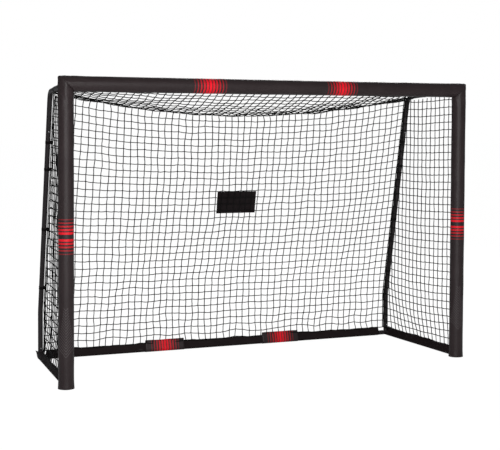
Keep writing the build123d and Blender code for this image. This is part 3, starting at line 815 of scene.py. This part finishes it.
def seam_x(y):
    """How far out the roof and side nets meet, at a place between the front and the rear."""
    share = min(1.0, (y - FRONT_Y) / (BEND.y - FRONT_Y))
    return SEAM_FRONT_X + (SEAM_REAR_X - SEAM_FRONT_X) * share


def fold_at(across):
    """The edge where the roof net turns down, from side to side as -1 to 1."""
    sag = FOLD_SAG * (1 - abs(across) ** 2.1)
    z = BEND.z - 6 * MM - sag
    slope = (REAR_Y - BEND.y) / (BEND.z - KNEE_Z)
    return Vector((across * SEAM_REAR_X, BEND.y + (BEND.z - z) * slope - 4 * MM, z))


def loose(where, seed, amount):
    return where + noise.noise_vector(where / (110 * MM) + Vector((seed, seed, 0))) * amount


def roof_place(across, back):
    """A point of the roof net: across from -1 to 1, and back from 0 at the crossbar to 1."""
    fold = fold_at(across)
    y = FRONT_Y + (fold.y - FRONT_Y) * back
    start = Vector((across * SEAM_FRONT_X, FRONT_Y, ROOF_FRONT_Z))
    where = start.lerp(fold, back)
    where.x = across * seam_x(y)
    belly = (1 - across**4) * math.sin(math.pi * back)
    where.z -= 26 * MM * belly
    hold = min(1.0, 4 * back) * min(1.0, 8 * (1 - abs(across)))
    return loose(where, 1.0, 9 * MM * hold)


BACK_FOOT_Z = SLEEVE_TOP_Z - 4 * MM
SLANT = math.hypot(REAR_Y - BEND.y, BEND.z - KNEE_Z)
BACK_LENGTH = SLANT + KNEE_Z - BACK_FOOT_Z


def back_line(down):
    """The taut line of the back net beside an upright, from 0 at the bend to 1 at the floor."""
    gone = down * BACK_LENGTH
    if gone < SLANT:
        return BEND.y + (REAR_Y - BEND.y) * gone / SLANT, BEND.z - (BEND.z - KNEE_Z) * gone / SLANT
    return REAR_Y, KNEE_Z - (gone - SLANT)


def back_place(across, down):
    """A point of the back net: across from -1 to 1, and down from 0 at the fold to 1."""
    y, z = back_line(down)
    knee_ease = math.exp(-(((z - KNEE_Z) / (90 * MM)) ** 2))
    y -= 10 * MM * knee_ease
    fold = fold_at(across)
    pull = (1 - down) ** 3.2
    sag = (BEND.z - fold.z) * pull
    slope = (REAR_Y - BEND.y) / (BEND.z - KNEE_Z)
    where = Vector((across * SEAM_REAR_X, y + sag * slope - 4 * MM, z - sag))
    belly = (1 - across**2) * math.sin(math.pi * min(1.0, down * 1.1))
    where.y -= 22 * MM * max(0.0, belly)
    where.z -= 20 * MM * (1 - abs(across) ** 5) * min(1.0, 3 * (1 - down)) * min(1.0, 4 * down)
    low = max(0.0, 1 - (where.z - SLEEVE_TOP_Z) / (200 * MM))
    hold = min(1.0, 8 * (1 - abs(across)))
    lean = noise.noise(Vector((across * 2.6, down * 2.0, 7.0)))
    where.x += 26 * MM * lean * math.sin(math.pi * down) * hold
    where = loose(where, 4.0, (6 * MM + 10 * MM * low) * hold)
    where += noise.noise_vector(where / (24 * MM)) * 3 * MM * hold
    where.z = max(where.z, BACK_FOOT_Z - 2 * MM)
    return where


# %% Crossings from a bmesh grid, then rows and columns of cord
def crossings(columns, rows, place):
    """A bmesh grid whose points are moved on to the net's surface, read back row by row."""
    bm = bmesh.new()
    bmesh.ops.create_grid(bm, x_segments=columns, y_segments=rows, size=1)
    grid = {}
    for vert in bm.verts:
        column = round((vert.co.x + 1) / 2 * columns)
        row = round((vert.co.y + 1) / 2 * rows)
        grid[column, row] = place(vert.co.x, row / rows)
    bm.free()
    return [[grid[c, r] for c in range(columns + 1)] for r in range(rows + 1)]


def panel_cords(grid, seed, drop):
    rows = [slack_cord(row, seed + i, drop) for i, row in enumerate(grid)]
    columns = [slack_cord(list(column), seed + 50 + i, drop) for i, column in enumerate(zip(*grid))]
    return rows + columns


roof_grid = crossings(COLUMNS, ROOF_ROWS, roof_place)
back_grid = crossings(COLUMNS, BACK_ROWS, back_place)
back_grid[0] = roof_grid[-1]

roof_mesh = cord_mesh(
    "net_roof_cords", panel_cords(roof_grid, 3.0, 2.5 * MM), CORD_R, [p for row in roof_grid[:-1] for p in row]
)
net_roof = settle(roof_mesh, "net_roof_cords", CORD, ["net_roof"])
back_mesh = cord_mesh(
    "net_back_cords", panel_cords(back_grid, 9.0, 1.6 * MM)[1:], CORD_R, [p for row in back_grid for p in row]
)
net_back = settle(back_mesh, "net_back_cords", CORD, ["net_back"])
print("roof faces", len(roof_mesh.polygons), "back faces", len(back_mesh.polygons))

# %% [markdown]
# The side nets are cut to the shape between the post, the roof arm, the rear upright and the
# base. Their columns hang straight down beside the post and are cut off by the slanting
# upright, as on the real net, so each row and column ends where it meets the edge.

# %% The side nets
MESH_Y = 42 * MM
MESH_Z = 44.2 * MM
EDGE_DROP = 12 * MM
TOP_SLOPE = (BEND.z - CROSSBAR_Z) / (BEND.y - POST_Y)


def rear_limit(z):
    """Where the side net ends at a height, along the rear upright."""
    if z <= KNEE_Z:
        return REAR_Y - 6 * MM
    return REAR_Y - 6 * MM - (z - KNEE_Z) * (REAR_Y - BEND.y) / (BEND.z - KNEE_Z)


def top_limit(y):
    """How high the side net reaches, under the roof arm or beside the upright."""
    under_arm = CROSSBAR_Z - EDGE_DROP + (y - POST_Y) * TOP_SLOPE
    if y <= BEND.y - 6 * MM:
        return under_arm
    return min(under_arm, KNEE_Z + (REAR_Y - 6 * MM - y) * (BEND.z - KNEE_Z) / (REAR_Y - BEND.y))


def side_place(side, y, z):
    """A point of a side net, drawn out to the base sleeve at its foot."""
    share = (y - FRONT_Y) / (REAR_Y - FRONT_Y)
    hung = SEAM_FRONT_X + (SEAM_REAR_X - SEAM_FRONT_X) * min(1.0, share * 1.25)
    sleeve_x = POST_X + (REAR_X - POST_X) * (y - POST_Y) / (REAR_Y - POST_Y)
    low = max(0.0, 1 - (z - SLEEVE_TOP_Z) / (330 * MM)) ** 1.6
    end = min(1.0, max(0.0, (REAR_Y - 30 * MM - y) / (60 * MM)))
    x = hung + (sleeve_x - hung) * low * end
    inner = math.sin(math.pi * min(1.0, max(0.0, share)))
    x -= 16 * MM * inner * (1 - low)
    hold = min(1.0, inner * 4)
    foot = max(0.0, 1 - (z - SLEEVE_TOP_Z) / (120 * MM))
    where = Vector((x, y, z - 14 * MM * inner * (1 - foot)))
    where = loose(where, 6.0 + side, (3 * MM + 3 * MM * foot) * hold)
    return where + noise.noise_vector(where / (24 * MM)) * 2 * MM * hold


def side_lines(side):
    """The cords and knots of one side net."""
    foot_z = SLEEVE_TOP_Z - 4 * MM
    heights = [foot_z + i * MESH_Z for i in range(int((CROSSBAR_Z - EDGE_DROP - foot_z) / MESH_Z) + 1)]
    depths = [FRONT_Y + i * MESH_Y for i in range(int((REAR_Y - FRONT_Y) / MESH_Y) + 1)]
    lines, knots = [], []
    for i, z in enumerate(heights):
        end = rear_limit(z)
        places = [side_place(side, y, z) for y in depths if y < end - 8 * MM and z < top_limit(y) - 6 * MM]
        if len(places) > 1:
            knots += places
            if z < BEND.z - 20 * MM:
                places.append(side_place(side, end, z))
            lines.append(slack_cord(places, 20.0 + i, 2.2 * MM, 1.8 * MM))
    for i, y in enumerate(depths):
        top = top_limit(y)
        places = [side_place(side, y, z) for z in heights if z < top - 6 * MM]
        places.append(side_place(side, y, top))
        if len(places) > 1:
            lines.append(slack_cord(places, 70.0 + i, 0.0, 1.8 * MM))
    return lines, knots


def mirror_x(where, side):
    return Vector((side * where.x, where.y, where.z))


for side, word in ((-1, "left"), (1, "right")):
    lines, knots = side_lines(side)
    lines = [[mirror_x(p, side) for p in line] for line in lines]
    knots = [mirror_x(p, side) for p in knots]
    mesh = cord_mesh(f"net_side_cords_{word}", lines, CORD_R, knots)
    settle(mesh, f"net_side_cords_{word}", CORD, [f"net_side_{word}"])
    print("side faces", word, len(mesh.polygons))

# %% [markdown]
# A thicker cord runs round every edge of the net, and double along the corners where two
# panels meet. It takes the pull of the ties.

# %% Edge cords
def edge_line(places, seed):
    return slack_cord(places, seed, 1.0 * MM)


edges = []
for side in (-1, 1):
    arm = [Vector((side * seam_x(y), y, top_limit(y) + 3 * MM)) for y in
           [FRONT_Y + (BEND.y - 8 * MM - FRONT_Y) * i / 12 for i in range(13)]]
    edges.append(edge_line(arm, 1.0 + side))
    for shift in (0.0, 7 * MM):
        seam = []
        for i in range(35):
            y, z = back_line(i / 34)
            seam.append(Vector((side * (SEAM_REAR_X - shift), y - 5 * MM, z)))
        edges.append(edge_line(seam, 5.0 + side + shift * 100))
    front = [side_place(side, FRONT_Y + 1 * MM, SLEEVE_TOP_Z + (top_limit(FRONT_Y) - SLEEVE_TOP_Z) * i / 34) for i in range(35)]
    edges.append(edge_line([mirror_x(p, side) for p in front], 9.0 + side))
    foot = [side_place(side, FRONT_Y + (REAR_Y - 12 * MM - FRONT_Y) * i / 18, SLEEVE_TOP_Z - 3 * MM) for i in range(19)]
    edges.append(edge_line([mirror_x(p, side) for p in foot], 12.0 + side))
edges.append(edge_line([p + UP * 1 * MM for p in roof_grid[0]], 15.0))
edges.append(edge_line(back_grid[-1], 16.0))
edge_mesh = cord_mesh("net_edge_cords", edges, EDGE_R)
settle(edge_mesh, "net_edge_cords", CORD)

# %% [markdown]
# ## The patch
#
# A small rectangle of cloth is sewn on the back net. It follows the net's own waves, so its
# grid is laid on the same surface, a cord's thickness in front of it, and then given a wall.
# A folded hem runs round it.

# %% The patch and its hem
PATCH_LOW, PATCH_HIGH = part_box("net_patch")
PATCH_MIDDLE = (PATCH_LOW + PATCH_HIGH) / 2
PATCH_W = PATCH_HIGH.x - PATCH_LOW.x
PATCH_H = 130 * MM


def down_at(z):
    """How far down the back net a height is, from 0 to 1."""
    return SLANT * (BEND.z - z) / (BEND.z - KNEE_Z) / BACK_LENGTH


def on_back(x, z, off):
    where = back_place(x / SEAM_REAR_X, down_at(z))
    return Vector((x, where.y - off, z))


bm = bmesh.new()
bmesh.ops.create_grid(bm, x_segments=40, y_segments=24, size=0.5)
for vert in bm.verts:
    x = PATCH_MIDDLE.x + vert.co.x * PATCH_W
    z = PATCH_MIDDLE.z + vert.co.y * PATCH_H
    ripple = 1.6 * MM * wander((x, 0, z), 55 * MM, 4.0)
    border = max(abs(vert.co.x) * PATCH_W - (PATCH_W / 2 - 9 * MM), abs(vert.co.y) * PATCH_H - (PATCH_H / 2 - 9 * MM))
    hem = 0.8 * MM if border > 0 else 0.0
    vert.co = on_back(x, z, 5 * MM + ripple + hem)
patch = finish_piece(bm, "patch_cloth", PATCH_CLOTH, ["net_patch"], thickness=1 * MM)

# %% [markdown]
# ## Ties
#
# Short tapes go round the tube and the corner cord and are pulled tight. Each is a flat ring
# with a loop to the cord. The ring is a circle extruded to the tape's width.

# %% Tapes round the tubes
TAPE_WIDTH = 16 * MM
TAPE_R = TUBE_R + 0.9 * MM


def tie(bm, centre, way, side):
    """A tape ring round a tube, drawn out towards the corner cord on its inner side."""
    turn = UP.rotation_difference(way).to_matrix().to_4x4()
    place = Matrix.Translation(centre - way * TAPE_WIDTH / 2) @ turn
    ring = bmesh.ops.create_circle(bm, segments=40, radius=TAPE_R, matrix=place)
    verts = list(ring["verts"])
    rims = list({edge for vert in verts for edge in vert.link_edges})
    for _ in range(4):
        made = bmesh.ops.extrude_edge_only(bm, edges=rims)["geom"]
        new = [g for g in made if isinstance(g, bmesh.types.BMVert)]
        rims = [g for g in made if isinstance(g, bmesh.types.BMEdge) and all(v in new for v in g.verts)]
        bmesh.ops.translate(bm, verts=new, vec=way * TAPE_WIDTH / 4)
        verts += new
    inward = Vector((-side, 0, 0))
    for vert in verts:
        arm = vert.co - centre
        out = arm - way * arm.dot(way)
        facing = max(0.0, out.normalized().dot(inward))
        vert.co += inward * 11 * MM * facing**6
        vert.co += out.normalized() * 0.5 * MM * wander(vert.co, 9 * MM, 2.0)


bm = bmesh.new()
KNEE = Vector((REAR_X, REAR_Y, KNEE_Z))
for side in (-1, 1):
    bend = mirror_x(BEND, side)
    knee = mirror_x(KNEE, side)
    corner = CORNERS[(side + 1) // 2]
    for share in (0.114, 0.385, 0.657, 0.777):
        tie(bm, knee.lerp(bend, share), (bend - knee).normalized(), side)
    for share in (0.35, 0.65):
        tie(bm, corner.lerp(bend, share), (bend - corner).normalized(), side)
straps = finish_piece(bm, "net_ties", TAPE, ["net_straps"], thickness=0.7 * MM)

# %% [markdown]
# ## Sizes
#
# The frame's box and the box of the whole goal are printed side by side. Cloth may stand a
# little proud of the frame's box.

# %% The two boxes
VISUAL_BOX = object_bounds()
for name, box in (("cad", CAD_BOX), ("visual", VISUAL_BOX)):
    print(name, [[round(c * 1000, 1) for c in corner] for corner in box])
